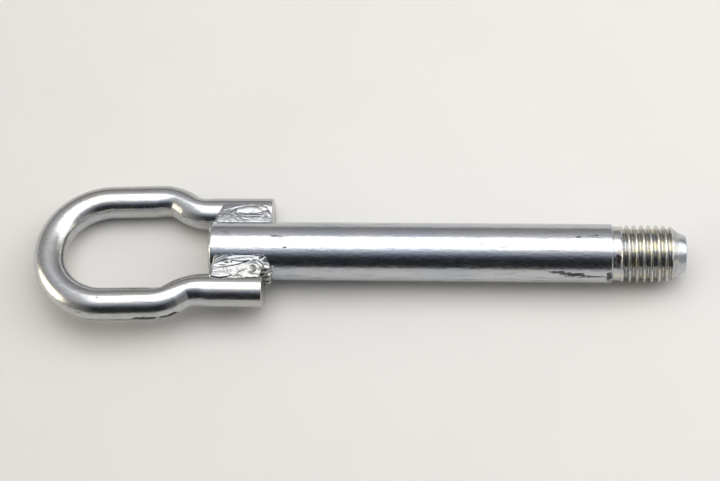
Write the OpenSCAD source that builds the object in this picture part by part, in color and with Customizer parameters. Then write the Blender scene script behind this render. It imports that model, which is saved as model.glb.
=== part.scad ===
// Screw-in tow eye: a turned shank with a threaded front end, and a bar bent to a U and welded to its rear end.
// Millimetres. +X runs along the shank towards the thread and +Z is up. The origin is on the shank's axis, at
// the front end of its plain part. The part lies as it rests: on the shank and on the far leg of the eye.

/* [Shank] */
// Diameter of the plain shank
shank_d = 20.5; // [20:0.1:26]
// Length of the plain shank, from its rear face to the start of the shoulder's rounding
shank_len = 139; // [60:0.5:220]
// Chamfer round the rear face
rear_chamfer = 0.8; // [0.2:0.1:1.5]
// Radius of the rounded shoulder
shoulder_r = 0.8; // [0.2:0.1:0.8]

/* [Thread] */
// Diameter over the crests of the thread
thread_d = 19.7; // [19:0.05:19.95]
// Distance from crest to crest
pitch = 2.5; // [1.5:0.25:3]
// Length of the thread, from the run-out groove to its lead chamfer
thread_len = 16.2; // [8:0.1:40]
// Diameter of the run-out groove behind the thread
groove_d = 18.8; // [17:0.1:18.9]
// Width of the run-out groove
groove_len = 3; // [1:0.1:6]
// Length of the lead chamfer in front of the thread
lead_len = 3; // [1:0.1:4]

/* [Nose] */
// Diameter of the nose at its base
nose_base_d = 15.2; // [14:0.1:17]
// Diameter of the nose's tip, before its edge is rounded
nose_tip_d = 12.6; // [9:0.1:13.5]
// Length of the nose
nose_len = 2.9; // [2:0.1:8]
// Radius of the rounded edge at the tip
nose_r = 0.9; // [0.3:0.1:1.5]

/* [Eye] */
// Diameter of the round bar that the eye is bent from
bar_d = 11.5; // [9:0.1:13]
// Clear width of the eye, between its legs
eye_w = 32; // [27:0.5:44]
// Distance from the shank's rear face back to the centre of the bend
eye_reach = 36.1; // [30:0.1:60]
// Length of the straight stretch at the crown of the bend
crown_flat = 1.2; // [0.5:0.1:6]
// How much thicker the bar is in its bends than in its straight stretches
bend_swell = 0.06; // [0.04:0.01:0.3]
// Angle at which the eye leans to the near side
eye_lean = 1.7; // [0:0.1:4]
// Depth of the eye's plane below the shank's axis
eye_drop = 0.7; // [0:0.1:1.5]

/* [Joggles] */
// Distance from the rear face back to the corner where a joggle leaves the weld
joggle_start = 5; // [4.5:0.1:7]
// Distance from the rear face back to the corner where a joggle meets the eye
joggle_end = 16.8; // [15:0.1:22]
// Bend radius at both corners of a joggle, on the bar's centreline
joggle_r = 15.5; // [8:0.5:16]

/* [Weld] */
// Length of the far leg along the shank
far_lap = 20.6; // [12:0.1:40]
// Length of the near leg along the shank
near_lap = 19.4; // [12:0.1:40]
// Gap between a leg and the shank at the root of the weld
root_gap = 0.2; // [0.1:0.05:0.5]
// Clearance between a bead and the steel that it lies on
seat_gap = 0.05; // [0.02:0.01:0.1]
// Distance between the ripples of a bead
ripple = 2.4; // [1.5:0.1:4]
// Height of the far bead's crown over its toes
crown = 1.5; // [0.8:0.1:2]
// Height of the near bead's crown over its toes
near_crown = 0.5; // [0.4:0.1:2]
// Length of the beads past the ends of the legs
overrun = 1.2; // [0.5:0.1:2]
// Radius of the weld metal that ran down the near leg's end
run_r = 2.3; // [1.5:0.1:2.8]

/* [Hidden] */
$fn = 96;
shank_r = shank_d / 2;
groove_r = groove_d / 2;
bar_r = bar_d / 2;
rear_x = -shank_len;
shoulder_x = min(shoulder_r, shank_r - groove_r);
thread_x = shoulder_x + groove_len;
lead_x = thread_x + thread_len;
nose_x = lead_x + lead_len;
tip_x = nose_x + nose_len;
// How far below its crests the thread starts and ends, as a chamfer at 45 degrees
thread_start = (thread_d - groove_d) / 2;
// The angle between the flanks of the thread, and its depth and the width of its crests as shares of the pitch
flank_angle = 60;
depth_share = 0.57;
crest_share = 0.17;

// The offset of the eye's sides and of the legs from the shank's axis, and the bend's radius, on the centreline
side_y = eye_w / 2 + bar_r;
bend_r = side_y - crown_flat / 2;
leg_y = sqrt(pow(shank_r + root_gap + bar_r, 2) - pow(eye_drop, 2));

// Corners of the bar's centreline in the eye's plane, from the far leg's end round to the near leg's end
back = [-cos(eye_lean), -sin(eye_lean)];
across = [-sin(eye_lean), cos(eye_lean)];
bend_centre = [rear_x - eye_reach, (joggle_end - eye_reach) * tan(eye_lean)];
crown_far = bend_centre + side_y * back + side_y * across;
crown_near = bend_centre + side_y * back - side_y * across;
joggle_x = rear_x - joggle_end;
function on_leg(corner) = [joggle_x, corner.y + (joggle_x - corner.x) * tan(eye_lean)];
bar_corners = [
    [rear_x + far_lap, leg_y], [rear_x - joggle_start, leg_y], on_leg(crown_far), crown_far,
    crown_near, on_leg(crown_near), [rear_x - joggle_start, -leg_y], [rear_x + near_lap, -leg_y]
];
bar_radii = [0, joggle_r, joggle_r, bend_r, bend_r, joggle_r, joggle_r, 0];
// How far each straight stretch runs on into its bends
run_on = 0.4;

// Headings, turns and set-backs along a bar that is bent at its corners
function heading(a, b) = atan2(b.y - a.y, b.x - a.x);
function wrap(t) = atan2(sin(t), cos(t));
function turn(p, i) = wrap(heading(p[i], p[i + 1]) - heading(p[i - 1], p[i]));
function bent(p, i) = i > 0 && i < len(p) - 1;
function setback(p, r, i) = bent(p, i) ? r[i] * tan(abs(turn(p, i)) / 2) : 0;
function along(t, length) = length * [cos(t), sin(t)];
function arc_start(p, r, i) = p[i] - along(heading(p[i - 1], p[i]), setback(p, r, i));
function arc_end(p, r, i) = bent(p, i) ? p[i] + along(heading(p[i], p[i + 1]), setback(p, r, i)) : p[i];
function arc_side(p, i) = heading(p[i - 1], p[i]) - 90 * sign(turn(p, i));
function arc_centre(p, r, i) = arc_start(p, r, i) - along(arc_side(p, i), r[i]);

// The eye rolls about the shank until the widest point of its far leg is level with the underside of the shank
far_reach = arc_centre(bar_corners, bar_radii, 2).y + joggle_r;
rest_height = shank_r - bar_r - bend_swell / 2;
roll = asin(rest_height / norm([far_reach, eye_drop])) - atan2(eye_drop, far_reach);

// A bead's toes, as angles up the shank from the eye's plane and in from the top of the leg
near_toe_angles = [50, 14];
far_toe_angles = [33, -8];
under_toe_angles = [36, 16];
// Height of the crown of the beads underneath, as a share of the far bead's crown
under_share = 0.6;
// How far a bead's body reaches down between the leg and the shank, as a share of the bar's radius
fill_share = 0.95;

// Weld metal that ran down the near leg's end: the angles of its drops up the shank, their radii as shares of run_r,
// and how far their middles stand off the steel, as a share of the radius
run_angles = [20, 3, -14];
run_shares = [1, 0.9, 0.75];
run_rise = 0.3;

module in_eye_plane() {
    rotate([-roll, 0, 0]) translate([0, 0, -eye_drop]) children();
}

module along_x(from, to, r) {
    translate([from, 0, 0]) rotate([0, 90, 0]) cylinder(r = r, h = to - from);
}

// What a radius takes off the corner b of the outline a, b, c
module corner_waste(a, b, c, r) {
    to_a = (a - b) / norm(a - b);
    to_c = (c - b) / norm(c - b);
    half = acos(to_a * to_c) / 2;
    middle = (to_a + to_c) / norm(to_a + to_c);
    centre = b + middle * r / sin(half);
    difference() {
        polygon([b + to_a * r / tan(half), b, b + to_c * r / tan(half), centre]);
        translate(centre) circle(r);
    }
}

// One groove of the thread in the turned profile. The grooves are closed rings, which stand for the helix.
module thread_groove(middle) {
    depth = depth_share * pitch;
    open = (1 - crest_share) * pitch / 2;
    spread = depth * tan(flank_angle / 2);
    translate([thread_d / 2, middle])
        polygon([[-depth, spread - open], [-depth, open - spread], [depth, open + spread], [depth, -open - spread]]);
}

// Half of the turned profile, with the radius across and the distance along the shank upwards
module shank_profile() {
    shoulder = [[shank_r, 0], [shank_r, shoulder_x], [groove_r, shoulder_x]];
    tip = [[nose_base_d / 2, nose_x], [nose_tip_d / 2, tip_x], [0, tip_x]];
    difference() {
        polygon([
            [0, rear_x], [shank_r - rear_chamfer, rear_x], [shank_r, rear_x + rear_chamfer], shoulder[1],
            shoulder[2], [groove_r, thread_x - thread_start], [thread_d / 2, thread_x],
            [thread_d / 2, lead_x], tip[0], tip[1], tip[2]
        ]);
        corner_waste(shoulder[0], shoulder[1], shoulder[2], shoulder_x);
        corner_waste(tip[0], tip[1], tip[2], nose_r);
        for (i = [1 : ceil(thread_len / pitch)]) thread_groove(thread_x + (i - 1 / 2) * pitch);
    }
}

module shank() {
    color("silver") rotate([0, 90, 0]) rotate_extrude() shank_profile();
}

// A straight stretch of bar from a to b, run on by the lengths before and after
module straight(a, b, before, after) {
    translate(a) rotate([0, 0, heading(a, b)]) along_x(-before, norm(b - a) + after, bar_r);
}

module bend(p, r, i) {
    sweep = turn(p, i);
    translate(arc_centre(p, r, i)) rotate([0, 0, arc_side(p, i) + min(sweep, 0)])
        rotate_extrude(angle = abs(sweep)) translate([r[i], 0]) circle(bar_r + bend_swell / 2);
}

// A round bar bent at the corners p with the radii r
module bent_bar(p, r) {
    last = len(p) - 1;
    for (i = [1 : last - 1]) bend(p, r, i);
    for (i = [1 : last])
        straight(arc_end(p, r, i - 1), i < last ? arc_start(p, r, i) : p[i], i > 1 ? run_on : 0, i < last ? run_on : 0);
}

module eye_loop() {
    color("gainsboro") in_eye_plane() bent_bar(bar_corners, bar_radii);
}

// One bead along the shank. side is 1 on the far leg and -1 on the near one, up is 1 on top and -1 underneath.
module bead(side, up, lap, toe_angles, rise) {
    leg = [side * leg_y, -eye_drop];
    toe_shank = shank_r * [side * cos(toe_angles[0]), up * sin(toe_angles[0])];
    toe_leg = leg + bar_r * [-side * sin(toe_angles[1]), up * cos(toe_angles[1])];
    width = norm(toe_leg - toe_shank);
    face = (toe_leg - toe_shank) / width;
    outward = side * up * [-face.y, face.x];
    middle = (toe_shank + toe_leg) / 2;
    ball_r = (width * width / 4 + rise * rise) / (2 * rise);
    centre = middle - outward * (ball_r - rise);
    fill = fill_share * bar_r;
    length = lap + overrun;
    count = ceil(length / ripple) + 1;
    difference() {
        intersection() {
            for (i = [0 : count - 1])
                translate([rear_x + length * i / (count - 1), centre.x, centre.y])
                    rotate([0, 90 * up, 0]) sphere(ball_r);
            bead_plan(middle - outward * fill, outward, length, width / 2, fill + 2 * rise);
        }
        along_x(rear_x - ball_r, 0, shank_r + seat_gap);
        translate([0, leg.x, leg.y]) along_x(rear_x - ball_r, rear_x + lap + seat_gap, bar_r + seat_gap);
    }
}

// The bead's outline seen square to its face, with a round front end
module bead_plan(base, outward, length, end_r, height) {
    lean = atan2(-outward.x, outward.y);
    translate([rear_x, base.x, base.y]) rotate([lean, 0, 0]) {
        translate([length - end_r, 0, 0]) cylinder(r = end_r, h = height);
        translate([0, -end_r, 0]) cube([length - end_r, 2 * end_r, height]);
    }
}

// The drops of weld metal that ran down the end of the near leg, each wider all round by the margin
module drops(margin) {
    for (i = [0 : len(run_angles) - 1]) {
        drop_r = run_r * run_shares[i];
        reach = shank_r + run_rise * drop_r;
        translate([rear_x + near_lap + run_rise * run_r, -reach * cos(run_angles[i]), reach * sin(run_angles[i])])
            sphere(drop_r + margin);
    }
}

// The same drops where they lie on the steel, between the leg and the shank
module run_off() {
    difference() {
        drops(0);
        along_x(rear_x, 0, shank_r + seat_gap);
        translate([0, -leg_y, -eye_drop]) along_x(rear_x, rear_x + near_lap + seat_gap, bar_r + seat_gap);
    }
}

module weld_near_top() {
    color("lightgray") rotate([-roll, 0, 0]) {
        bead(-1, 1, near_lap, near_toe_angles, near_crown);
        run_off();
    }
}

module weld_far_top() {
    color("lightgray") rotate([-roll, 0, 0]) bead(1, 1, far_lap, far_toe_angles, crown);
}

module weld_near_under() {
    color("lightgray") rotate([-roll, 0, 0]) difference() {
        bead(-1, -1, near_lap, under_toe_angles, under_share * crown);
        drops(seat_gap);
    }
}

module weld_far_under() {
    color("lightgray") rotate([-roll, 0, 0]) bead(1, -1, far_lap, under_toe_angles, under_share * crown);
}

shank();
eye_loop();
weld_near_top();
weld_far_top();
weld_near_under();
weld_far_under();
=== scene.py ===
"""Looks of a screw-in tow eye: a turned and threaded shank, a bent bar and four weld beads, all zinc plated.

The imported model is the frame. Every piece here stands for one of its nodes and lies where that node lies.
Lengths are in millimetres until a mesh is finished, with +X along the shank towards the thread, +Y to the far
leg and +Z up. Places across a bead run from -1 at its toe on the shank to 1 at its toe on the leg.
"""

import bisect
import logging
import math
from dataclasses import dataclass
from enum import Enum
from typing import Any, Optional, Sequence

import bmesh
import bpy
from mathutils import Matrix, Vector, noise

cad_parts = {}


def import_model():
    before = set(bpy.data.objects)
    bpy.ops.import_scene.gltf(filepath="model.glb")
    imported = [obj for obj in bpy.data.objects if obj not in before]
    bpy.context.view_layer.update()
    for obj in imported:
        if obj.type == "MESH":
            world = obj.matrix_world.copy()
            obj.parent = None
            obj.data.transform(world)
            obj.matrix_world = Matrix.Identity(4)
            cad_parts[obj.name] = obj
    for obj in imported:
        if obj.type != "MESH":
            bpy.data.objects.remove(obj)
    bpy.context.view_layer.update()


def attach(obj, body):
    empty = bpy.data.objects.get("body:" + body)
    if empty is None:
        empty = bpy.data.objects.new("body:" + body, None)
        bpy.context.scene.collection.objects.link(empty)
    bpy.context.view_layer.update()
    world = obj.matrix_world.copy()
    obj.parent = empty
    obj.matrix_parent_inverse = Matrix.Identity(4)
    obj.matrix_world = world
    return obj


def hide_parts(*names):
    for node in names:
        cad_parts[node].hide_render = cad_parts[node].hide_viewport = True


MM = 0.001
BODY = "root"
ROUND = 144
WELD_DIST = 0.0004
Tree = bpy.types.NodeTree
Node = bpy.types.Node
Object = bpy.types.Object
Socket = bpy.types.NodeSocket
BMesh = bmesh.types.BMesh
Ring = list[bmesh.types.BMEdge]
Pair = tuple[float, float]
Triple = tuple[float, float, float]
Outline = Sequence[Pair]

log = logging.getLogger("tow_eye")


class Leg(Enum):
    """The two legs of the eye, as the sign of their side of the shank."""

    FAR = 1
    NEAR = -1


class Face(Enum):
    """The side of the eye that a bead lies on, as the sign of its height."""

    TOP = 1
    UNDER = -1


def linear(colour: str) -> tuple[float, ...]:
    """Turns an sRGB colour of six hex digits, such as "C8CCD0", to a linear one with an alpha of 1."""
    shares = (int(colour[i : i + 2], 16) / 255 for i in (0, 2, 4))
    return (*(s / 12.92 if s <= 0.04045 else ((s + 0.055) / 1.055) ** 2.4 for s in shares), 1.0)


def smooth(low: float, high: float, value: float) -> float:
    """Gives a share that rises smoothly from 0 where the value is low to 1 where it is high."""
    share = min(1.0, max(0.0, (value - low) / (high - low)))
    return share * share * (3 - 2 * share)


def rounded(corners: Outline, radii: Sequence[float], facets: int = 8) -> list[Pair]:
    """Rounds the corners of an open outline.

    Args:
        corners: the outline's corners.
        radii: a radius for each corner, 0 where it stays sharp.
        facets: how many straight facets each arc gets.

    Returns:
        The points of the rounded outline.
    """
    points = []
    for i, (corner, radius) in enumerate(zip(corners, radii)):
        here = Vector(corner)
        if radius == 0:
            points.append(tuple(here))
            continue
        before = (Vector(corners[i - 1]) - here).normalized()
        after = (Vector(corners[i + 1]) - here).normalized()
        half = before.angle(after) / 2
        centre = here + (before + after).normalized() * radius / math.sin(half)
        first = here + before * radius / math.tan(half) - centre
        last = here + after * radius / math.tan(half) - centre
        spokes = (first.slerp(last, k / facets).normalized() for k in range(facets + 1))
        points += [tuple(centre + spoke * radius) for spoke in spokes]
    return points


def lathe(mesh: BMesh, outline: Outline) -> None:
    """Spins an outline once round the X axis.

    Args:
        mesh: the mesh that gets the turned surface.
        outline: places along X with their radii.
    """
    verts = [mesh.verts.new((x, 0, r)) for x, r in outline]
    edges = [mesh.edges.new(pair) for pair in zip(verts, verts[1:])]
    bmesh.ops.spin(mesh, geom=verts + edges, axis=(1, 0, 0), angle=math.tau, steps=ROUND, use_merge=True)


def placed(name: str, data: Any) -> Object:
    """Puts a mesh, a lamp or a camera into the scene.

    Args:
        name: name of its object.
        data: the mesh, lamp or camera.

    Returns:
        Its object.
    """
    made = bpy.data.objects.new(name, data)
    bpy.context.scene.collection.objects.link(made)
    return made


def solid(mesh: BMesh, name: str) -> Object:
    """Makes an object of a mesh.

    Args:
        mesh: the mesh, which is freed.
        name: name of the object.

    Returns:
        The object.
    """
    data = bpy.data.meshes.new(name)
    mesh.to_mesh(data)
    mesh.free()
    return placed(name, data)


def finished(mesh: BMesh, name: str, crease_deg: float = 35) -> Object:
    """Closes a mesh in millimetres, turns it to metres and makes it an object that rides on the part.

    Args:
        mesh: the mesh, which is freed.
        name: the piece's name.
        crease_deg: edges that turn by more than this are drawn sharp.

    Returns:
        The piece, with its place in its mesh.
    """
    bmesh.ops.remove_doubles(mesh, verts=mesh.verts, dist=WELD_DIST)
    bmesh.ops.recalc_face_normals(mesh, faces=mesh.faces)
    for face in mesh.faces:
        face.smooth = True
    for edge in mesh.edges:
        edge.smooth = edge.calc_face_angle(0) < math.radians(crease_deg)
    bmesh.ops.scale(mesh, vec=(MM, MM, MM), verts=mesh.verts)
    piece = solid(mesh, name)
    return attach(piece, BODY)


def emptied(owner: Any) -> Tree:
    """Turns on the nodes of a material or a world, with none in it yet.

    Args:
        owner: the material or world.

    Returns:
        Its node tree.
    """
    owner.use_nodes = True
    owner.node_tree.nodes.clear()
    return owner.node_tree


def add(tree: Tree, kind: str, inputs: Optional[dict[Any, Any]] = None, **settings: Any) -> Node:
    """Adds one shader node to a tree, sets it up and links it.

    By number, a MapRange reads from 1 to 2 and gives 3 to 4, and a Mix goes by 0 from 2 or 6 to 3 or 7.

    Args:
        tree: the node tree.
        kind: the node's type, such as "Math".
        inputs: for an input's name or number, its value, a socket, or a node that gives its first output.
        settings: the node's own properties.

    Returns:
        The new node.
    """
    node = tree.nodes.new(f"ShaderNode{kind}")
    for key, value in settings.items():
        setattr(node, key, value)
    for key, value in (inputs or {}).items():
        source = value.outputs[0] if isinstance(value, Node) else value
        if isinstance(source, Socket):
            tree.links.new(source, node.inputs[key])
        else:
            node.inputs[key].default_value = source
    return node


@dataclass(frozen=True)
class Mark:
    """A dark mark on the plating, as an ellipsoid in the part's frame: most are smears and specks, two are
    painted shade.

    Attributes:
        centre: its middle.
        radii: how far it reaches along X, Y and Z.
        strength: how far it hides the plating, from 0 to 1.
    """

    centre: Triple
    radii: Triple
    strength: float = 1.0


@dataclass(frozen=True)
class Straw:
    """The straw-coloured film that the passivation leaves where it runs off last, as in a thread.

    Attributes:
        span: where it starts and ends along X.
        root_r: radius within which old grease darkens it.
        open_r: radius beyond which it is clean.
        fade: half the length over which it ends.
        film: its colour.
        dark_colour: colour of the grease.
    """

    span: Pair
    root_r: float
    open_r: float
    fade: float = 0.3
    film: str = "E2DABC"
    dark_colour: str = "7C7462"


@dataclass(frozen=True)
class ZincPlate:
    """Bright zinc plating with a clear passivation, over steel that was turned, drawn or welded.

    It reflects almost like a mirror, but the lines of the steel under it show through, the passivation gives
    faint blue and straw tints, and handling has left fine streaks, specks and a little old grease. On the
    shank, two dark marks are painted shade.

    Attributes:
        name: the material's name.
        plate: the plating's colour.
        tint: the colour that the passivation drifts to.
        stain: the colour of the handling streaks.
        roughness: the roughness of clean plating.
        lines: length along X, Y and Z of the lines in the steel.
        line_depth: their depth.
        mottle_depth: depth of the plating's mottling.
        swell_depth: depth of the slow unevenness under the plating.
        marks: dark smears and specks, and on the shank two patches of painted shade.
        straw: the straw-coloured film, if there is one.
        dark_colour: colour of the marks, for grease and for the painted shade.
    """

    name: str
    plate: str
    tint: str
    stain: str
    roughness: float
    lines: Triple
    line_depth: float
    mottle_depth: float
    swell_depth: float
    marks: tuple[Mark, ...] = ()
    straw: Optional[Straw] = None
    dark_colour: str = "1B1714"

    def grains(self, tree: Tree, place: Socket) -> dict[str, Node]:
        """Adds the noises that the finish is made of, with grains of a real size.

        Args:
            tree: the material's node tree.
            place: the Object coordinates.

        Returns:
            Each noise by its name, about 0.5 on average.
        """
        sizes = {
            "lines": self.lines, "mottle": (2.8, 0.9, 0.9), "swell": (9, 4, 4), "clouds": (26, 14, 14),
            "streaks": (9, 0.7, 0.7), "specks": (0.9, 0.45, 0.45), "patches": (2.5, 2.5, 2.5),
            "rims": (2, 0.7, 0.7),
        }
        made = {}
        for name, size in sizes.items():
            scale = [1 / (s * MM) for s in size]
            scaled = add(tree, "VectorMath", {0: place, 1: scale}, operation="MULTIPLY")
            made[name] = add(tree, "TexNoise", {"Vector": scaled, "Scale": 1.0, "Detail": 4.0})
        return made

    def soil_and_shade(self, tree: Tree, place: Socket, ragged: Node) -> Any:
        """Adds the mask of the marks, with ragged rims.

        Args:
            tree: the material's node tree.
            place: the Object coordinates.
            ragged: the noise that tears the rims.

        Returns:
            The mask, as strong on a mark as the mark is, or 0 if there is none.
        """
        rim = add(tree, "Math", {0: ragged, 1: 2.6, 2: -1.35}, operation="MULTIPLY_ADD")
        soil_and_shade: Any = 0.0
        for mark in self.marks:
            centre, scale = [c * MM for c in mark.centre], [1 / (r * MM) for r in mark.radii]
            off = add(tree, "VectorMath", {0: place, 1: centre}, operation="SUBTRACT")
            share = add(tree, "VectorMath", {0: off, 1: scale}, operation="MULTIPLY")
            reach = add(tree, "VectorMath", {0: share}, operation="LENGTH").outputs["Value"]
            torn = add(tree, "Math", {0: reach, 1: rim}, operation="ADD")
            fall = {"Value": torn, 1: 0.7, 2: 1.15, 3: mark.strength, 4: 0.0}
            mask = add(tree, "MapRange", fall, interpolation_type="SMOOTHSTEP")
            soil_and_shade = add(tree, "Math", {0: soil_and_shade, 1: mask}, operation="MAXIMUM")
        return soil_and_shade

    def filmed(self, tree: Tree, place: Socket, patches: Node, colour: Socket) -> Socket:
        """Lays the straw-coloured film over a colour, and the old grease in the roots.

        Args:
            tree: the material's node tree.
            place: the Object coordinates.
            patches: the noise that thins the film.
            colour: the plating's colour.

        Returns:
            The filmed colour.
        """
        straw = self.straw
        axes = add(tree, "SeparateXYZ", {0: place})
        radial = add(tree, "VectorMath", {0: place, 1: (0, 1, 1)}, operation="MULTIPLY")
        radius = add(tree, "VectorMath", {0: radial}, operation="LENGTH").outputs["Value"]
        (start, end), fade = (x * MM for x in straw.span), straw.fade * MM
        inside: Any = 1.0
        for low, high in ((start - fade, start + fade), (end + fade, end - fade)):
            edge = add(tree, "MapRange", {"Value": axes.outputs["X"], 1: low, 2: high})
            inside = add(tree, "Math", {0: inside, 1: edge}, operation="MULTIPLY")
        thin = {"Value": patches, 1: 0.38, 2: 0.66, 4: 0.6}
        root = {"Value": radius, 1: straw.open_r * MM, 2: straw.root_r * MM, 4: 0.3}
        for ends, film in ((thin, straw.film), (root, straw.dark_colour)):
            share = add(tree, "MapRange", ends, interpolation_type="SMOOTHSTEP")
            here = add(tree, "Math", {0: inside, 1: share}, operation="MULTIPLY")
            colour = add(tree, "Mix", {0: here, 6: colour, 7: linear(film)}, data_type="RGBA").outputs[2]
        return colour

    def material(self) -> bpy.types.Material:
        """Builds the material.

        Returns:
            A node material on Object coordinates.
        """
        made = bpy.data.materials.new(self.name)
        tree = emptied(made)
        place = add(tree, "TexCoord").outputs["Object"]
        grain = self.grains(tree, place)

        cloudy = {"Value": grain["clouds"], 1: 0.42, 2: 0.68}
        drift = add(tree, "MapRange", cloudy, interpolation_type="SMOOTHSTEP")
        drifted = {0: drift, 6: linear(self.plate), 7: linear(self.tint)}
        colour = add(tree, "Mix", drifted, data_type="RGBA").outputs[2]
        handled: Any = 0.0
        for name, low, high, top in (("streaks", 0.54, 0.76, 0.7), ("specks", 0.62, 0.72, 0.55)):
            share = {"Value": grain[name], 1: low, 2: high, 4: top}
            worn = add(tree, "MapRange", share, interpolation_type="SMOOTHSTEP")
            handled = add(tree, "Math", {0: handled, 1: worn}, operation="MAXIMUM")
        colour = add(tree, "Mix", {0: handled, 6: colour, 7: linear(self.stain)}, data_type="RGBA").outputs[2]
        if self.straw:
            colour = self.filmed(tree, place, grain["patches"], colour)
        dull = add(tree, "Math", {0: handled, 1: 0.18, 2: self.roughness}, operation="MULTIPLY_ADD")
        rough = add(tree, "Math", {0: grain["mottle"], 1: 0.16, 2: dull}, operation="MULTIPLY_ADD")
        # Mask of the dark marks: grease smears and specks, and on the shank painted shade at the shoulder and
        # in the groove.
        soil_and_shade = self.soil_and_shade(tree, place, grain["rims"])
        bare = add(tree, "Math", {0: 1.0, 1: soil_and_shade}, operation="SUBTRACT")
        colour = add(tree, "Mix", {0: soil_and_shade, 6: colour, 7: linear(self.dark_colour)}, data_type="RGBA").outputs[2]
        rough = add(tree, "Mix", {0: soil_and_shade, 2: rough, 3: 0.5})

        relief: dict[str, Any] = {}
        depths = {"swell": self.swell_depth, "mottle": self.mottle_depth, "lines": self.line_depth}
        for name, depth in depths.items():
            relief = {"Normal": add(tree, "Bump", {"Height": grain[name], "Distance": depth * MM, **relief})}
        finish = {"Metallic": bare, "Base Color": colour, "Roughness": rough, **relief}
        add(tree, "OutputMaterial", {"Surface": add(tree, "BsdfPrincipled", finish)})
        return made


# Turned on a lathe, then plated: straight soft bands of light along the shank, a little mottled where they
# fade, with straw colour and old grease in the thread.
TURNED = ZincPlate(
    name="zinc plated turned steel",
    plate="C6C8CB",
    tint="BCC1C9",
    stain="767E8C",
    roughness=0.12,
    lines=(40, 0.5, 0.5),
    line_depth=0.003,
    mottle_depth=0.04,
    swell_depth=0.012,
    marks=(
        Mark((-18.0, -9.1, 4.6), (3.4, 0.9, 0.5), 0.85), Mark((-15.0, -9.35, 4.0), (2.2, 0.9, 0.6), 0.9),
        Mark((-11.8, -9.6, 3.4), (4.2, 1.2, 0.8), 0.95), Mark((-6.2, -9.85, 2.6), (5.2, 0.9, 0.45), 0.75),
        # The mark at x -0.5 ends the grease smear and darkens the shoulder with painted shade; the mark at x
        # 2.5 is painted shade in the run-out groove.
        Mark((-0.5, -9.9, 2.4), (1.0, 1.4, 2.4), 0.9), Mark((2.5, -5.4, 7.4), (1.0, 2.6, 2.4)),
        Mark((-115.6, 1.2, 10.2), (1.2, 0.35, 0.6), 0.8), Mark((-113.6, 1.0, 10.2), (0.8, 0.3, 0.6), 0.6),
        Mark((-111.9, -2.8, 9.9), (0.7, 0.35, 0.6), 0.8), Mark((-10.9, 1.6, 10.1), (0.9, 0.35, 0.6), 0.9),
        Mark((-6.6, 2.0, 10.1), (2.2, 0.3, 0.6), 0.6), Mark((-5.0, 2.4, 10.0), (0.5, 0.3, 0.6), 0.9),
        Mark((-136.0, 3.4, 9.7), (1.0, 0.6, 0.8), 0.6), Mark((-133.4, 2.8, 9.8), (1.8, 0.6, 0.8), 0.65),
        Mark((-44.0, -1.5, 10.1), (0.5, 0.25, 0.6), 0.5), Mark((-81.0, 2.4, 9.9), (0.6, 0.25, 0.6), 0.4),
    ),
    straw=Straw((1.2, 22.8), 8.5, 9.5),
)
# Drawn bar, bent cold, then plated: softer bands that follow the bend, and a warmer, cloudier film.
DRAWN = ZincPlate(
    name="zinc plated drawn bar",
    plate="C4C6C8",
    tint="C1BFBA",
    stain="777C86",
    roughness=0.13,
    lines=(14, 0.6, 0.6),
    line_depth=0.003,
    mottle_depth=0.014,
    swell_depth=0.03,
    marks=(
        Mark((-158.8, -27.4, 3.6), (5.0, 1.6, 0.9)), Mark((-151.5, -25.7, 2.9), (6.0, 1.6, 1.0)),
        Mark((-171.0, -27.6, 3.0), (9.0, 1.2, 0.35), 0.7), Mark((-176.0, -22.0, 9.0), (0.6, 0.3, 0.5), 0.5),
    ),
)
# Weld metal, plated as it froze: small mirrors at every angle, with straw colour and grey between them.
WELDED = ZincPlate(
    name="zinc plated weld metal",
    plate="AEB0B3",
    tint="A8A7A4",
    stain="64686C",
    roughness=0.16,
    lines=(1.6, 1.2, 1.2),
    line_depth=0.002,
    mottle_depth=0.008,
    swell_depth=0.03,
    marks=(
        Mark((-132.1, -7.9, 8.2), (0.9, 0.35, 0.7), 0.85), Mark((-130.5, -7.8, 8.3), (0.5, 0.4, 0.7), 0.8),
        Mark((-133.4, -8.8, 8.0), (0.9, 0.25, 0.7), 0.7), Mark((-123.3, -9.9, 7.2), (0.7, 0.5, 0.8), 0.5),
    ),
)


@dataclass
class Joint:
    """Where the legs of the eye lie against the shank, and how the eye is turned about it.

    Attributes:
        shank_r: radius of the plain shank.
        bar_r: radius of the bent bar.
        root_gap: gap between a leg and the shank.
        eye_drop: depth of the eye's plane below the shank's axis.
        roll_deg: turn of the eye about the shank, far leg down.
        rear_x: place of the shank's rear face.
    """

    shank_r: float = 10.25
    bar_r: float = 5.75
    root_gap: float = 0.2
    eye_drop: float = 0.7
    roll_deg: float = 10.05
    rear_x: float = -139.0

    @property
    def leg_y(self) -> float:
        """Gives the legs' distance from the shank's axis, across."""
        return math.sqrt((self.shank_r + self.root_gap + self.bar_r) ** 2 - self.eye_drop**2)

    @property
    def rolled(self) -> Matrix:
        """Gives the turn from the level eye to the part's frame."""
        return Matrix.Rotation(-math.radians(self.roll_deg), 4, "X")


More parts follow.
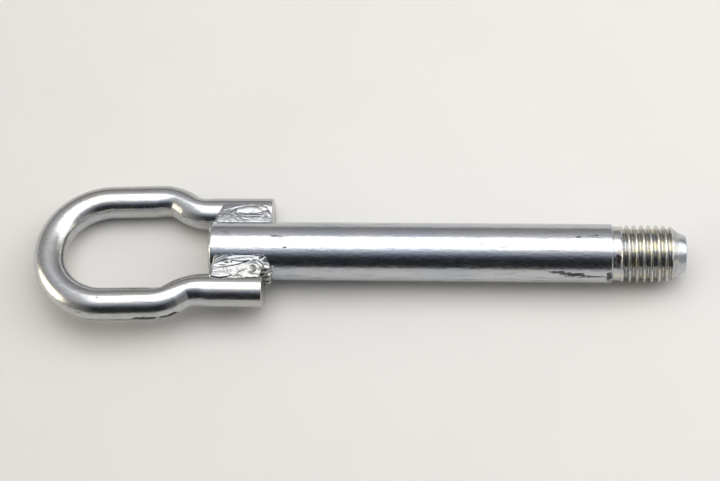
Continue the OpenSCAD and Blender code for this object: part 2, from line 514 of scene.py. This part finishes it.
@dataclass
class HelicalThread:
    """A coarse right-handed metric thread with a rounded root, between a run-out groove and a lead chamfer.

    Attributes:
        pitch: distance from crest to crest.
        crest_r: radius over the crests.
        root_r: radius at the roots.
        root_round: radius of the rounded root.
        start: where the thread comes up out of the groove.
        end: where its lead chamfer starts.
        phase: place of a root at the top of the shank.
        flank: rows of one flank, as distances from the middle of the root.
        lift: how much shallower the cut is where the thread comes up.
        crest_round: half the depth over which the crest's edges are rounded.
    """

    pitch: float = 2.5
    crest_r: float = 9.85
    root_r: float = 8.42
    root_round: float = 0.36
    start: float = 3.8
    end: float = 20.0
    phase: float = 2.3
    flank: tuple[float, ...] = (0.0, 0.14, 0.26, 0.38, 0.6, 0.82, 0.97, 1.03, 1.07, 1.11, 1.17)
    lift: float = 1.8
    crest_round: float = 0.11

    def depth_r(self, off: float) -> float:
        """Gives the radius of the groove's flank.

        Args:
            off: distance along X from the middle of the root.

        Returns:
            The radius there, which passes the crest's beyond the flank.
        """
        tangent = self.root_round * math.cos(math.radians(30))
        if off <= tangent:
            return self.root_r + self.root_round - math.sqrt(self.root_round**2 - off**2)
        return self.root_r + self.root_round / 2 + (off - tangent) / math.tan(math.radians(30))

    def radius(self, x: float, turned: float, envelope: float) -> float:
        """Gives the radius of the threaded stretch at a place.

        Args:
            x: place along the shank.
            turned: share of a turn from the top, right-handed about +X.
            envelope: radius of the blank there.

        Returns:
            The radius after the thread is cut, with a small round on the crest's edges.
        """
        off = (x - self.phase - self.pitch * turned) % self.pitch
        off = min(off, self.pitch - off)
        lift = self.lift * (1 - smooth(self.start - 1.2, self.start + 0.6, x))
        cut, rim = self.depth_r(off) + lift, self.crest_round
        if abs(cut - envelope) >= rim:
            return min(cut, envelope)
        return min(cut, envelope) - (rim - abs(cut - envelope)) ** 2 / (4 * rim)


@dataclass
class TurnedShank:
    """The turned shank: chamfered rear face, plain stretch, shoulder, groove, thread and tapered nose.

    Attributes:
        joint: the fit with the eye, which holds the plain radius and the rear face.
        thread: the thread at the front end.
        rear_chamfer: chamfer round the rear face.
        edge_rounds: radii of that chamfer's two edges.
        shoulder: radius of the shoulder.
        groove_r: radius of the run-out groove.
        groove_floor: length of its floor up to the threaded stretch.
        nose_x: where the nose starts.
        nose_base_r: its radius there.
        tip_x: place of the tip.
        tip_r: the tip's radius, before its edge is rounded.
        tip_round: radius of that edge.
    """

    joint: Joint
    thread: HelicalThread
    rear_chamfer: float = 0.8
    edge_rounds: Pair = (0.3, 0.8)
    shoulder: float = 0.8
    groove_r: float = 9.4
    groove_floor: float = 1.6
    nose_x: float = 23.0
    nose_base_r: float = 7.6
    tip_x: float = 25.9
    tip_r: float = 6.3
    tip_round: float = 0.9

    @property
    def cut_x(self) -> float:
        """Gives the place in the groove where the threaded stretch starts."""
        return self.shoulder + self.groove_floor

    def blank_r(self, x: float) -> float:
        """Gives the radius of the threaded stretch before its thread is cut.

        Args:
            x: place along the shank.

        Returns:
            The radius of the groove, the crests or the lead chamfer.
        """
        rise = self.groove_r + max(0.0, x - self.thread.start + self.thread.crest_r - self.groove_r)
        slope = (self.thread.crest_r - self.nose_base_r) / (self.nose_x - self.thread.end)
        fall = self.thread.crest_r - max(0.0, x - self.thread.end) * slope
        return min(rise, fall, self.thread.crest_r)

    def threaded(self, mesh: BMesh) -> None:
        """Cuts the thread: rows along the helix are spun with the pitch, then each point goes to its radius.

        Args:
            mesh: the mesh, still empty, that gets the threaded stretch.
        """
        pitch, flank = self.thread.pitch, self.thread.flank
        rows = (*(-w for w in reversed(flank[1:])), *flank, pitch / 2)
        before = math.ceil((self.thread.phase - self.cut_x) / pitch) + 2
        after = math.ceil((self.nose_x - self.thread.phase) / pitch) + 1
        places = [self.thread.phase + k * pitch + row for k in range(-before, after) for row in rows]
        verts = [mesh.verts.new((x, 0, self.thread.crest_r)) for x in places]
        edges = [mesh.edges.new(pair) for pair in zip(verts, verts[1:])]
        step = (pitch / ROUND, 0, 0)
        bmesh.ops.spin(mesh, geom=verts + edges, axis=(1, 0, 0), dvec=step, angle=math.tau, steps=ROUND)
        for vert in mesh.verts:
            turned = (math.atan2(-vert.co.y, vert.co.z) / math.tau) % 1
            x = min(max(vert.co.x, self.cut_x), self.nose_x)
            out = Vector((0, vert.co.y, vert.co.z)).normalized()
            vert.co = out * self.thread.radius(x, turned, self.blank_r(x))
            vert.co.x = x
        bmesh.ops.remove_doubles(mesh, verts=mesh.verts, dist=WELD_DIST)

    def build(self) -> Object:
        """Builds and dresses the shank.

        Returns:
            The piece that stands for the shank.
        """
        mesh = bmesh.new()
        self.threaded(mesh)
        rear, plain = self.joint.rear_x, self.joint.shank_r
        behind = [
            (rear, 0), (rear, 4), (rear, plain - self.rear_chamfer), (rear + self.rear_chamfer, plain),
            (self.shoulder, plain), (self.shoulder, self.groove_r), (self.cut_x, self.groove_r),
        ]
        ahead = [(self.nose_x, self.nose_base_r), (self.tip_x, self.tip_r), (self.tip_x, 3), (self.tip_x, 0)]
        lathe(mesh, rounded(behind, (0, 0, *self.edge_rounds, self.shoulder, 0, 0)))
        lathe(mesh, rounded(ahead, (0, self.tip_round, 0, 0)))
        piece = finished(mesh, "shank_turned")
        piece.data.materials.append(TURNED.material())
        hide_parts("shank")
        return piece


@dataclass
class BentEye:
    """The round bar, bent to a U, joggled towards the shank and cut off square.

    Attributes:
        joint: the fit with the shank.
        eye_w: clear width of the eye.
        eye_reach: distance from the rear face back to the centre of the bend.
        crown_flat: straight stretch at the crown of the bend.
        lean_deg: lean of the eye to the near side.
        joggle: distances from the rear face back to a joggle's two corners.
        joggle_r: bend radius at those corners.
        laps: length of the far and the near leg along the shank.
        step: longest stretch of bar between two rings of the mesh.
        facets: flat facets round each ring.
        end_round: radius of the edge of the cut ends.
        crease: where the press's crease inside a joggle's bend starts, is deepest and ends, along the joggle's
            slope from its corner.
        crease_depth: depth of the crease.
    """

    joint: Joint
    eye_w: float = 32.0
    eye_reach: float = 36.1
    crown_flat: float = 1.2
    lean_deg: float = 1.7
    joggle: Pair = (5.0, 16.8)
    joggle_r: float = 15.5
    laps: Pair = (20.6, 19.4)
    step: float = 0.6
    facets: int = 96
    end_round: float = 0.35
    crease: Triple = (-2.2, 2.8, 7.5)
    crease_depth: float = 0.75

    def corners(self) -> tuple[list[Vector], list[float]]:
        """Finds the corners of the centreline, from the far leg's end to the near leg's.

        Returns:
            The corners, and a bend radius for each.
        """
        lean, side = math.radians(self.lean_deg), self.eye_w / 2 + self.joint.bar_r
        rear, leg_y = self.joint.rear_x, self.joint.leg_y
        back = Vector((-math.cos(lean), -math.sin(lean), 0))
        across = Vector((-math.sin(lean), math.cos(lean), 0))
        centre = Vector((rear - self.eye_reach, (self.joggle[1] - self.eye_reach) * math.tan(lean), 0))
        crown = [centre + side * back + side * across, centre + side * back - side * across]
        end_x = rear - self.joggle[1]
        on_leg = [Vector((end_x, c.y + (end_x - c.x) * math.tan(lean), 0)) for c in crown]
        path = [
            Vector((rear + self.laps[0], leg_y, 0)), Vector((rear - self.joggle[0], leg_y, 0)), on_leg[0],
            *crown, on_leg[1],
            Vector((rear - self.joggle[0], -leg_y, 0)), Vector((rear + self.laps[1], -leg_y, 0)),
        ]
        bend = side - self.crown_flat / 2
        return path, [0, self.joggle_r, self.joggle_r, bend, bend, self.joggle_r, self.joggle_r, 0]

    def straight(self, mesh: BMesh, ring: Ring, way: Vector) -> Ring:
        """Extrudes the bar's open end along a straight stretch.

        Args:
            mesh: the bar's mesh.
            ring: the edges of its open end.
            way: the stretch, as a vector.

        Returns:
            The edges of the new open end.
        """
        count = max(1, math.ceil(way.length / self.step))
        for _ in range(count):
            made = bmesh.ops.extrude_edge_only(mesh, edges=ring)["geom"]
            end = [g for g in made if isinstance(g, bmesh.types.BMVert)]
            bmesh.ops.translate(mesh, vec=way / count, verts=end)
            ring = [g for g in made if isinstance(g, bmesh.types.BMEdge) and len(g.link_faces) == 1]
        return ring

    def creased(self, mesh: BMesh, corner: Vector, slope: Vector, inside: Vector) -> None:
        """Presses a crease into the inside of a bend.

        Args:
            mesh: the bar's mesh.
            corner: corner of the centreline.
            slope: direction of the joggle's slope from there.
            inside: direction from the slope's centreline to the inside of the bend.
        """
        start, deepest, end = self.crease
        for vert in mesh.verts:
            off = vert.co - corner
            along, height = off.dot(slope), off.dot(inside)
            if start < along < end and 0 < height < 2 * self.joint.bar_r:
                share = min((along - start) / (deepest - start), (end - along) / (end - deepest))
                vert.co -= inside * self.crease_depth * share * smooth(0, self.joint.bar_r * 0.8, height)

    def build(self) -> Object:
        """Builds and dresses the bar.

        Returns:
            The piece that stands for the eye loop.
        """
        mesh, (path, radii) = bmesh.new(), self.corners()
        bmesh.ops.create_circle(
            mesh, segments=self.facets, radius=self.joint.bar_r,
            matrix=Matrix.Translation(path[0]) @ Matrix.Rotation(math.radians(90), 4, "Y"),
        )
        ring, here = list(mesh.edges), path[0]
        for i in range(1, len(path) - 1):
            before, after = (path[i] - path[i - 1]).normalized(), (path[i + 1] - path[i]).normalized()
            sweep = -before.xy.angle_signed(after.xy)
            setback = radii[i] * math.tan(abs(sweep) / 2)
            start = path[i] - before * setback
            ring = self.straight(mesh, ring, start - here)
            inward = Vector((-before.y, before.x, 0)) * math.copysign(1, sweep)
            centre = start + inward * radii[i]
            steps = math.ceil(abs(sweep) * (radii[i] + self.joint.bar_r) / self.step)
            end = ring + list({v for e in ring for v in e.verts})
            spun = bmesh.ops.spin(mesh, geom=end, cent=centre, axis=(0, 0, 1), angle=sweep, steps=steps)
            ring = [g for g in spun["geom_last"] if isinstance(g, bmesh.types.BMEdge)]
            here = path[i] + after * setback
        self.straight(mesh, ring, path[-1] - here)
        # Each corner of a joggle, with its other corner and the end of the straight stretch next to it.
        for i, other, leg in ((1, 2, 0), (2, 1, 3), (5, 6, 4), (6, 5, 7)):
            slope, away = (path[other] - path[i]).normalized(), (path[leg] - path[i]).normalized()
            inside = away - slope * away.dot(slope)
            self.creased(mesh, path[i], slope, inside.normalized())
        rims = [e for e in mesh.edges if len(e.link_faces) == 1]
        bmesh.ops.holes_fill(mesh, edges=rims, sides=0)
        bmesh.ops.bevel(
            mesh, geom=rims, offset=self.end_round, affect="EDGES", segments=3, profile=0.5, material=-1
        )
        bmesh.ops.translate(mesh, vec=(0, 0, -self.joint.eye_drop), verts=mesh.verts)
        bmesh.ops.transform(mesh, matrix=self.joint.rolled, verts=mesh.verts)
        piece = finished(mesh, "eye_bar")
        piece.data.materials.append(DRAWN.material())
        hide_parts("eye_loop")
        return piece


@dataclass(frozen=True)
class Lump:
    """A drop of weld metal on the shank.

    Attributes:
        x: place along the shank.
        angle: angle up the shank from the eye's plane, in degrees.
        radius: the drop's radius.
        rise: how far its middle stands off the steel, in shares of the radius.
    """

    x: float
    angle: float
    radius: float
    rise: float = 0.3


@dataclass(frozen=True)
class Tongue:
    """A tongue of weld metal that froze smooth over the ripples.

    Attributes:
        along: place of its middle, from the start of the bead.
        across: its place across the bead.
        half_length: half its length.
        half_width: half its width, in shares of half the bead's width.
        height: how far it stands over the ripples.
        lean: how far across it climbs for each millimetre along.
        tilt: how much higher it is at its edge towards the leg, in shares of its height.
        lap: depth of the lap round its rim.
        flat: share of its reach up to which it is whole.
        bulge: how much lower it gets towards its rim, in shares of its height.
    """

    along: float
    across: float
    half_length: float
    half_width: float
    height: float
    lean: float = 0.0
    tilt: float = 0.0
    lap: float = 0.0
    flat: float = 0.78
    bulge: float = 0.35

    def shape(self, along: float, across: float) -> Pair:
        """Gives the tongue's share of a place.

        Args:
            along: the place, from the start of the bead.
            across: its place across the bead.

        Returns:
            How far the tongue covers it, from 0 to 1, and its height there.
        """
        off = along - self.along
        side = (across - self.across - self.lean * off) / self.half_width
        reach = math.hypot(off / self.half_length, side)
        cover = smooth(1.0, self.flat, reach)
        lap = self.lap * math.exp(-(((reach - 1.07) / 0.11) ** 2))
        return cover, cover * self.height * (1 + self.tilt * side) * (1 - self.bulge * reach**2) - lap


@dataclass(frozen=True)
class Crater:
    """The crater where the arc was cut, with the rings that its last pulses left ahead of it.

    Attributes:
        x: place of its middle.
        across: its place across the bead.
        radius: its radius.
        depth: its depth.
        rings: radii of the rings.
        ring_height: their height.
        ring_width: half their width.
        half_widths: what half the bead's width counts for in the crater and in its rings.
    """

    x: float
    across: float
    radius: float = 0.95
    depth: float = 0.42
    rings: tuple[float, ...] = (1.9, 3.2, 4.5)
    ring_height: float = 0.13
    ring_width: float = 0.36
    half_widths: Pair = (4.0, 6.0)

    def dented(self, height: float, x: float, across: float) -> float:
        """Presses the crater and its rings into the relief.

        Args:
            height: height of the relief at a place.
            x: the place.
            across: its place across the bead.

        Returns:
            The height with the crater.
        """
        ahead, aside = x - self.x, across - self.across
        off = math.hypot(ahead, aside * self.half_widths[0])
        height = height * smooth(0.6, 2.2, off) - self.depth * math.exp(-((off / self.radius) ** 2))
        off = math.hypot(ahead, aside * self.half_widths[1])
        for ring in self.rings:
            wave = self.ring_height * math.exp(-(((off - ring) / self.ring_width) ** 2))
            height += wave * smooth(-0.3, 1.2, ahead)
        return height


@dataclass
class WeldBead:
    """One bead along the shank: a crowned fillet that froze in ripples, with smooth tongues over them.

    Attributes:
        joint: the fit of the legs with the shank.
        leg: the leg that it joins.
        face: the side that it lies on.
        starts: where it starts at its toe on the shank and at its toe on the leg.
        ends: where it ends at those toes.
        toes: its toes, as angles up the shank from the eye's plane and in from the top of the leg.
        crown: height of its crown over its toes.
        ripples: where each ripple starts, from the start of the bead.
        sweep: how far the arms of a ripple run ahead of its middle.
        ridge: where across the bead the ripples have their middle.
        relief: height of the ripples.
        tongues: smooth tongues over the ripples.
        lumps: weld metal that ran off, and spatter.
        crater: the crater where the arc was cut, if it shows.
        voxel: size of the cells that fuse the bead and its lumps.
        seed: offset of its noise.
        rounds: lengths over which it rises to its full width at its start and at its end.
        unevenness: height of its slow unevenness.
        wander: how far noise shifts the ripples along the bead.
        clots: height of the clots where it ran past the end of the leg.
        sink: how far its toes lie inside the steel.
        belly: depth of its hidden side under its toes.
    """

    joint: Joint
    leg: Leg
    face: Face
    starts: Pair
    ends: Pair
    toes: Pair
    crown: float
    ripples: tuple[float, ...]
    sweep: float
    ridge: float
    relief: float
    tongues: tuple[Tongue, ...] = ()
    lumps: tuple[Lump, ...] = ()
    crater: Optional[Crater] = None
    voxel: float = 0.13
    seed: float = 0.0
    rounds: Pair = (1.8, 3.6)
    unevenness: float = 0.07
    wander: float = 1.3
    clots: float = 0.34
    sink: float = 0.12
    belly: float = 1.3

    @property
    def node(self) -> str:
        """Gives the name of the node that the bead stands for."""
        return f"weld_{self.leg.name.lower()}_{self.face.name.lower()}"

    def toe_points(self, full: float) -> tuple[Vector, Vector]:
        """Gives the bead's toes in a section.

        Args:
            full: width of the bead there, in shares of its full width.

        Returns:
            The toe on the shank and the toe on the leg, a little inside the steel.
        """
        side, up = self.leg.value, self.face.value
        rise = math.radians(self.toes[0] * full)
        lean = math.radians(90 - (90 - self.toes[1]) * full)
        shank = Vector((side * math.cos(rise), up * math.sin(rise))) * (self.joint.shank_r - self.sink)
        bar = Vector((-side * math.sin(lean), up * math.cos(lean))) * (self.joint.bar_r - self.sink)
        return shank, bar + Vector((side * self.joint.leg_y, -self.joint.eye_drop))

    def outward(self) -> Vector:
        """Gives the direction square to the bead's face, in a section.

        Returns:
            A direction across and up, of length 1.
        """
        shank, leg = self.toe_points(1.0)
        face = (leg - shank).normalized()
        return Vector((-face.y, face.x)) * self.leg.value * self.face.value

    def body_point(self, share: float, spoke: float) -> Vector:
        """Places a point of the bead's plain body.

        Args:
            share: place along the bead, 0 at its start.
            spoke: angle round its section: 0 at the leg, over the crown to pi at the shank, then back below.

        Returns:
            The point, before the eye is rolled.
        """
        across = math.cos(spoke)
        start, end = (low + (high - low) * (across + 1) / 2 for low, high in (self.starts, self.ends))
        length = end - start
        tail, nose = share * length / self.rounds[0], (1 - share) * length / self.rounds[1]
        full = math.sqrt(max(0.0, 1 - max(0.0, 1 - tail) ** 2) * max(0.0, 1 - max(0.0, 1 - nose) ** 2))
        shank, leg = self.toe_points(full)
        rise = self.crown if spoke >= 0 else -self.belly
        place = shank.lerp(leg, (across + 1) / 2) + self.outward() * rise * full * (1 - across**2)
        return Vector((start + share * length, place.x, place.y))

    def body(self) -> BMesh:
        """Builds the plain body with its lumps.

        Returns:
            Closed shells that overlap.
        """
        mesh = bmesh.new()
        bmesh.ops.create_uvsphere(mesh, u_segments=48, v_segments=80, radius=1)
        for vert in mesh.verts:
            share = math.asin(max(-1.0, min(1.0, vert.co.z))) / math.pi + 0.5
            vert.co = self.body_point(share, math.atan2(vert.co.y, vert.co.x))
        for lump in self.lumps:
            reach = self.joint.shank_r + lump.rise * lump.radius
            angle = math.radians(lump.angle)
            y, z = self.leg.value * reach * math.cos(angle), self.face.value * reach * math.sin(angle)
            place = Matrix.Translation((lump.x, y, z))
            bmesh.ops.create_icosphere(mesh, subdivisions=3, radius=lump.radius, matrix=place)
        bmesh.ops.recalc_face_normals(mesh, faces=mesh.faces)
        return mesh

    def fused(self, mesh: BMesh) -> BMesh:
        """Fuses overlapping shells to one skin of even cells.

        Args:
            mesh: the shells, in millimetres, which are freed.

        Returns:
            The skin.
        """
        holder = solid(mesh, "shells")
        remesh = holder.modifiers.new("fuse", "REMESH")
        remesh.mode, remesh.voxel_size = "VOXEL", self.voxel
        evaluated = holder.evaluated_get(bpy.context.evaluated_depsgraph_get())
        skin = bmesh.new()
        skin.from_mesh(evaluated.to_mesh())
        evaluated.to_mesh_clear()
        shells = holder.data
        bpy.data.objects.remove(holder)
        bpy.data.meshes.remove(shells)
        axes = {f"use_axis_{axis}": True for axis in "xyz"}
        for _ in range(3):
            bmesh.ops.smooth_vert(skin, verts=skin.verts, factor=0.5, **axes)
        return skin

    def relief_height(self, place: Vector, across: float) -> float:
        """Gives the height of the frozen ripples and tongues at a place.

        Args:
            place: the point, before the eye is rolled.
            across: its place across the bead.

        Returns:
            The height over the plain body.
        """
        along = place.x - min(self.starts)
        drift = noise.fractal(place * 0.3 + Vector((self.seed, 0, 0)), 0.8, 2.0, 2)
        phase = along - self.sweep * abs(across - self.ridge) ** 1.3 + self.wander * drift
        index = bisect.bisect_right(self.ripples, phase)
        low, high = (self.ripples[0] - 3.0, *self.ripples, self.ripples[-1] + 6.0)[index : index + 2]
        share = min(1.0, max(0.0, (phase - low) / (high - low)))
        swell = 0.9 + 0.9 * noise.noise(Vector((index * 7.3 + self.seed, across * 0.9, 0.5)))
        ripple = smooth(0, 0.16, share) * (1 - share) ** 0.8 * swell
        shapes = [tongue.shape(along, across) for tongue in self.tongues]
        cover = max((share for share, _ in shapes), default=0.0)
        soft = noise.fractal(place * 0.35 + Vector((0, self.seed, 0)), 1.0, 2.0, 2)
        height = self.relief * ripple * (1 - cover) + self.unevenness * soft + sum(rise for _, rise in shapes)
        clotted = smooth(self.ends[1] - 1.0, self.ends[1] + 0.5, place.x) * smooth(0.1, 0.45, across)
        height += self.clots * clotted * noise.fractal(place * 1.1 + Vector((0, 0, self.seed)), 0.8, 2.0, 2)
        return self.crater.dented(height, place.x, across) if self.crater else height

    def build(self) -> Object:
        """Builds and dresses the bead.

        Returns:
            The piece that stands for the weld's node.
        """
        mesh = self.fused(self.body())
        mesh.normal_update()
        shank, leg = self.toe_points(1.0)
        chord, middle, out = leg - shank, (leg + shank) / 2, self.outward()
        for vert in mesh.verts:
            off = Vector((vert.co.y, vert.co.z)) - middle
            across = 2 * off.dot(chord) / chord.length_squared
            facing = max(0.0, Vector((vert.normal.y, vert.normal.z)).dot(out))
            front = max(0.0, vert.normal.x)
            shown = smooth(0.1, 0.55, max(facing, front)) * smooth(-1.2, 0.1, off.dot(out) + front)
            vert.co += vert.normal * self.relief_height(vert.co, across) * shown
        bmesh.ops.transform(mesh, matrix=self.joint.rolled, verts=mesh.verts)
        piece = finished(mesh, self.node.replace("weld", "bead"), crease_deg=60)
        piece.data.materials.append(bpy.data.materials.get(WELDED.name) or WELDED.material())
        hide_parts(self.node)
        return piece


@dataclass(frozen=True)
class Glow:
    """A soft bright spot on a wall of the room, which only reflections show.

    Attributes:
        way: direction of its middle.
        colour: its colour.
        strength: how much brighter it is than the room.
        rim: cosine of the angle at which it has faded out.
        core: cosine of the angle within which it is full.
    """

    way: Triple
    colour: str
    strength: float
    rim: float
    core: float


@dataclass(frozen=True)
class Panel:
    """One panel of the soft light, level and facing down.

    Attributes:
        centre: its middle.
        size: its size along X and Y.
        power: its power, in watts.
    """

    centre: Triple
    size: Pair
    power: float


@dataclass
class Studio:
    """A pale table under one large soft light, with a dark side towards the camera, as in the photograph.

    Attributes:
        table_z: height of the table.
        table_colour: its colour.
        table_mottle: the colour that its paint drifts to.
        panels: the soft light, with a dimmer panel along its near edge.
        room: colours of the room by their angle from overhead towards the camera's side, in degrees.
        wall_colour: colour of the room at both sides.
        glows: bright spots low on the walls, a warm one behind the eye and a white one past the thread.
        room_strength: brightness of the room.
        backdrop_colour: what the camera sees past the table.
        camera_at: place of the camera.
        camera_right: direction of the picture's right side.
        camera_up: direction of its upper side.
        lens: focal length on a sensor 36 mm wide.
    """

    table_z: float = -10.25
    table_colour: str = "D8D6D2"
    table_mottle: str = "D3D1CD"
    panels: tuple[Panel, ...] = (
        Panel((350.0, 218.0, 700.0), (1500.0, 564.0), 5.5),
        Panel((350.0, -124.0, 700.0), (1500.0, 120.0), 0.62),
    )
    room: tuple[tuple[float, str], ...] = (
        (-95, "8E8C8A"), (-76, "A2A0A0"), (-58, "C4C2C4"), (-44, "E8E8EA"), (13, "EEF0F4"), (21, "CED4DF"),
        (31, "979DAB"), (40, "50545F"), (50, "2A2C31"), (80, "26282C"), (92, "6F6F70"), (110, "A0A0A0"),
    )
    wall_colour: str = "B2B0AE"
    glows: tuple[Glow, ...] = (
        Glow((-0.97, -0.12, 0.21), "FFF0D2", 3.0, 0.9, 0.96),
        Glow((0.89, 0.24, 0.38), "F2F5FA", 1.2, 0.88, 0.96),
    )
    room_strength: float = 0.9
    backdrop_colour: str = "D6D5D3"
    camera_at: Triple = (-38.33, -246.63, 550.38)
    camera_right: Triple = (0.9968, 0.0394, -0.0699)
    camera_up: Triple = (-0.0068, 0.9096, 0.4154)
    lens: float = 86.43

    def table(self) -> None:
        """Lays the pale table top, which is lightly mottled paint."""
        mesh = bmesh.new()
        bmesh.ops.create_grid(mesh, x_segments=4, y_segments=4, size=3)
        bmesh.ops.translate(mesh, vec=(0, 0, self.table_z * MM), verts=mesh.verts)
        top = solid(mesh, "table")
        paint = bpy.data.materials.new("matt table paint")
        tree = emptied(paint)
        place = add(tree, "TexCoord").outputs["Object"]
        mottle = add(tree, "TexNoise", {"Vector": place, "Scale": 25.0, "Detail": 3.0})
        tones = {0: mottle, 6: linear(self.table_colour), 7: linear(self.table_mottle)}
        tone = add(tree, "Mix", tones, data_type="RGBA").outputs[2]
        shader = add(tree, "BsdfPrincipled", {"Base Color": tone, "Roughness": 0.6})
        add(tree, "OutputMaterial", {"Surface": shader})
        top.data.materials.append(paint)

    def surround(self) -> None:
        """Paints the room: dim far off, dark from the camera's side, grey with a glow at both sides."""
        world = bpy.data.worlds.new("room")
        bpy.context.scene.world = world
        tree = emptied(world)
        way = add(tree, "TexCoord").outputs["Generated"]
        axes = add(tree, "SeparateXYZ", {0: way})
        near = add(tree, "Math", {0: axes.outputs["Y"], 1: -1.0}, operation="MULTIPLY")
        angle = add(tree, "Math", {0: near, 1: axes.outputs["Z"]}, operation="ARCTAN2")
        share = add(tree, "MapRange", {"Value": angle, 1: -math.pi, 2: math.pi, 3: 0.0, 4: 1.0})
        ramp = add(tree, "ValToRGB", {0: share})
        bands = ramp.color_ramp.elements
        while len(bands) < len(self.room):
            bands.new(0.5)
        for band, (degrees, colour) in zip(bands, self.room):
            band.position, band.color = (degrees + 180) / 360, linear(colour)
        aside = add(tree, "Math", {0: axes.outputs["X"]}, operation="ABSOLUTE")
        beside = add(tree, "MapRange", {"Value": aside, 1: 0.35, 2: 0.8})
        walls = {0: beside, 6: ramp, 7: linear(self.wall_colour)}
        colour = add(tree, "Mix", walls, data_type="RGBA").outputs[2]
        power: Any = self.room_strength
        for glow in self.glows:
            facing = add(tree, "VectorMath", {0: way, 1: glow.way}, operation="DOT_PRODUCT").outputs["Value"]
            spot = add(tree, "MapRange", {"Value": facing, 1: glow.rim, 2: glow.core})
            colour = add(tree, "Mix", {0: spot, 6: colour, 7: linear(glow.colour)}, data_type="RGBA").outputs[2]
            power = add(tree, "Math", {0: spot, 1: glow.strength, 2: power}, operation="MULTIPLY_ADD")
        lit = add(tree, "Background", {"Color": colour, "Strength": power})
        pale = add(tree, "Background", {"Color": linear(self.backdrop_colour), "Strength": 1.0})
        seen = add(tree, "LightPath").outputs["Is Camera Ray"]
        add(tree, "OutputWorld", {"Surface": add(tree, "MixShader", {0: seen, 1: lit, 2: pale})})

    def soft_light(self) -> None:
        """Hangs the large soft light over the table, towards the far side."""
        for panel in self.panels:
            lamp = bpy.data.lights.new("soft light", "AREA")
            lamp.shape = "RECTANGLE"
            lamp.size, lamp.size_y = (s * MM for s in panel.size)
            lamp.energy = panel.power
            placed("soft light", lamp).location = Vector(panel.centre) * MM

    def camera(self) -> None:
        """Sets the camera that was fitted to the photograph."""
        lens = bpy.data.cameras.new("camera")
        lens.lens, lens.sensor_width, lens.sensor_fit = self.lens, 36.0, "HORIZONTAL"
        lens.clip_start, lens.clip_end = 0.01, 20.0
        holder = placed("camera", lens)
        right = Vector(self.camera_right).normalized()
        back = right.cross(Vector(self.camera_up)).normalized()
        turn = Matrix((right, back.cross(right), back)).transposed().to_4x4()
        holder.matrix_world = Matrix.Translation(Vector(self.camera_at) * MM) @ turn
        bpy.context.scene.camera = holder

    def build(self) -> None:
        """Sets up the table, the room, the light and the camera, and shows colours as they are."""
        self.table()
        self.surround()
        self.soft_light()
        self.camera()
        bpy.context.scene.view_settings.view_transform = "Standard"


def beads(joint: Joint) -> list[WeldBead]:
    """Lists the four beads.

    Args:
        joint: the fit of the legs with the shank.

    Returns:
        Both beads on top, as the photograph shows them, and two plain ones underneath.
    """
    rear = joint.rear_x
    run_x = rear + BentEye.laps[1] + 0.7
    plain = tuple(1.9 * k + 0.4 * math.sin(2.3 * k) for k in range(12))
    teeth = tuple(Tongue(6.4 + 1.1 * k, 0.22 - 0.02 * k, 0.6, 0.2, 0.1, lean=0.6) for k in range(8))
    streaks = (
        Tongue(3.2, 0.3, 2.8, 0.05, 0.09, lean=0.03), Tongue(5.0, 0.52, 3.6, 0.06, 0.1),
        Tongue(3.0, 0.7, 2.2, 0.06, 0.1), Tongue(8.4, 0.66, 2.6, 0.05, 0.1, lean=0.03),
    )
    return [
        WeldBead(
            joint, Leg.NEAR, Face.TOP, (rear + 1.3, rear - 0.2), (rear + 22.6, rear + 19.6), (50, 14), -0.45,
            ripples=(-4.0, -1.9, -0.9, 1.2, 3.3, 4.2, 6.3, 7.4, 9.9, 11.6, 14.0),
            sweep=6.5, ridge=0.1, relief=0.22,
            tongues=(
                Tongue(15.6, 0.54, 4.9, 0.4, 0.32, tilt=0.2, lap=0.1),
                Tongue(4.8, 0.46, 5.6, 0.5, 0.38, tilt=1.0),
                Tongue(8.6, -0.3, 6.6, 0.26, 0.25, lean=-0.045, tilt=0.3, lap=0.1),
                Tongue(12.6, -0.7, 6.6, 0.3, 0.16, tilt=1.0), *teeth, *streaks,
            ),
            lumps=(
                Lump(run_x + 0.1, 22, 2.1, 0.15), Lump(run_x + 0.3, 4, 1.9, 0.25),
                Lump(run_x + 0.2, -14, 1.65), Lump(run_x + 1.9, 9, 0.7),
                Lump(run_x + 2.6, 24, 0.45), Lump(run_x + 3.5, 15, 0.3),
            ),
            crater=Crater(rear + 15.7, 0.14),
        ),
        WeldBead(
            joint, Leg.FAR, Face.TOP, (rear - 0.3, rear + 2.0), (rear + 21.6, rear + 21.2), (33, -8), 0.5,
            ripples=(-3.0, -0.5, 1.6, 3.2, 4.6, 6.6, 9.0), sweep=7.0, ridge=-0.2, relief=0.16,
            tongues=(
                Tongue(13.6, 0.34, 6.0, 0.4, 0.36, lean=0.02, tilt=1.3, lap=0.2),
                Tongue(13.0, -0.28, 5.6, 0.2, 0.24, lean=-0.01, tilt=-0.6, lap=0.1),
                Tongue(18.9, 0.15, 3.6, 0.34, 0.3, lean=-0.22, tilt=0.3, lap=0.16),
            ),
            seed=3.7,
        ),
        *(
            WeldBead(
                joint, leg, Face.UNDER, (rear, rear), tuple(rear + lap for lap in laps), (36, 16), 0.9, plain,
                sweep=3.5, ridge=0.0, relief=0.22, voxel=0.2, seed=seed,
            )
            for leg, laps, seed in ((Leg.NEAR, (20.4, 20.2), 8.1), (Leg.FAR, (21.6, 21.4), 12.9))
        ),
    ]


def main() -> None:
    """Builds the part's looks over its frame and its setting, and logs the faces of each piece."""
    logging.basicConfig(level=logging.INFO, format="%(name)s: %(message)s")
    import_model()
    Studio().build()
    joint = Joint()
    pieces = [TurnedShank(joint, HelicalThread()), BentEye(joint), *beads(joint)]
    for piece in pieces:
        made = piece.build()
        log.info("%s has %d faces", made.name, len(made.data.polygons))


if __name__ == "__main__":
    main()
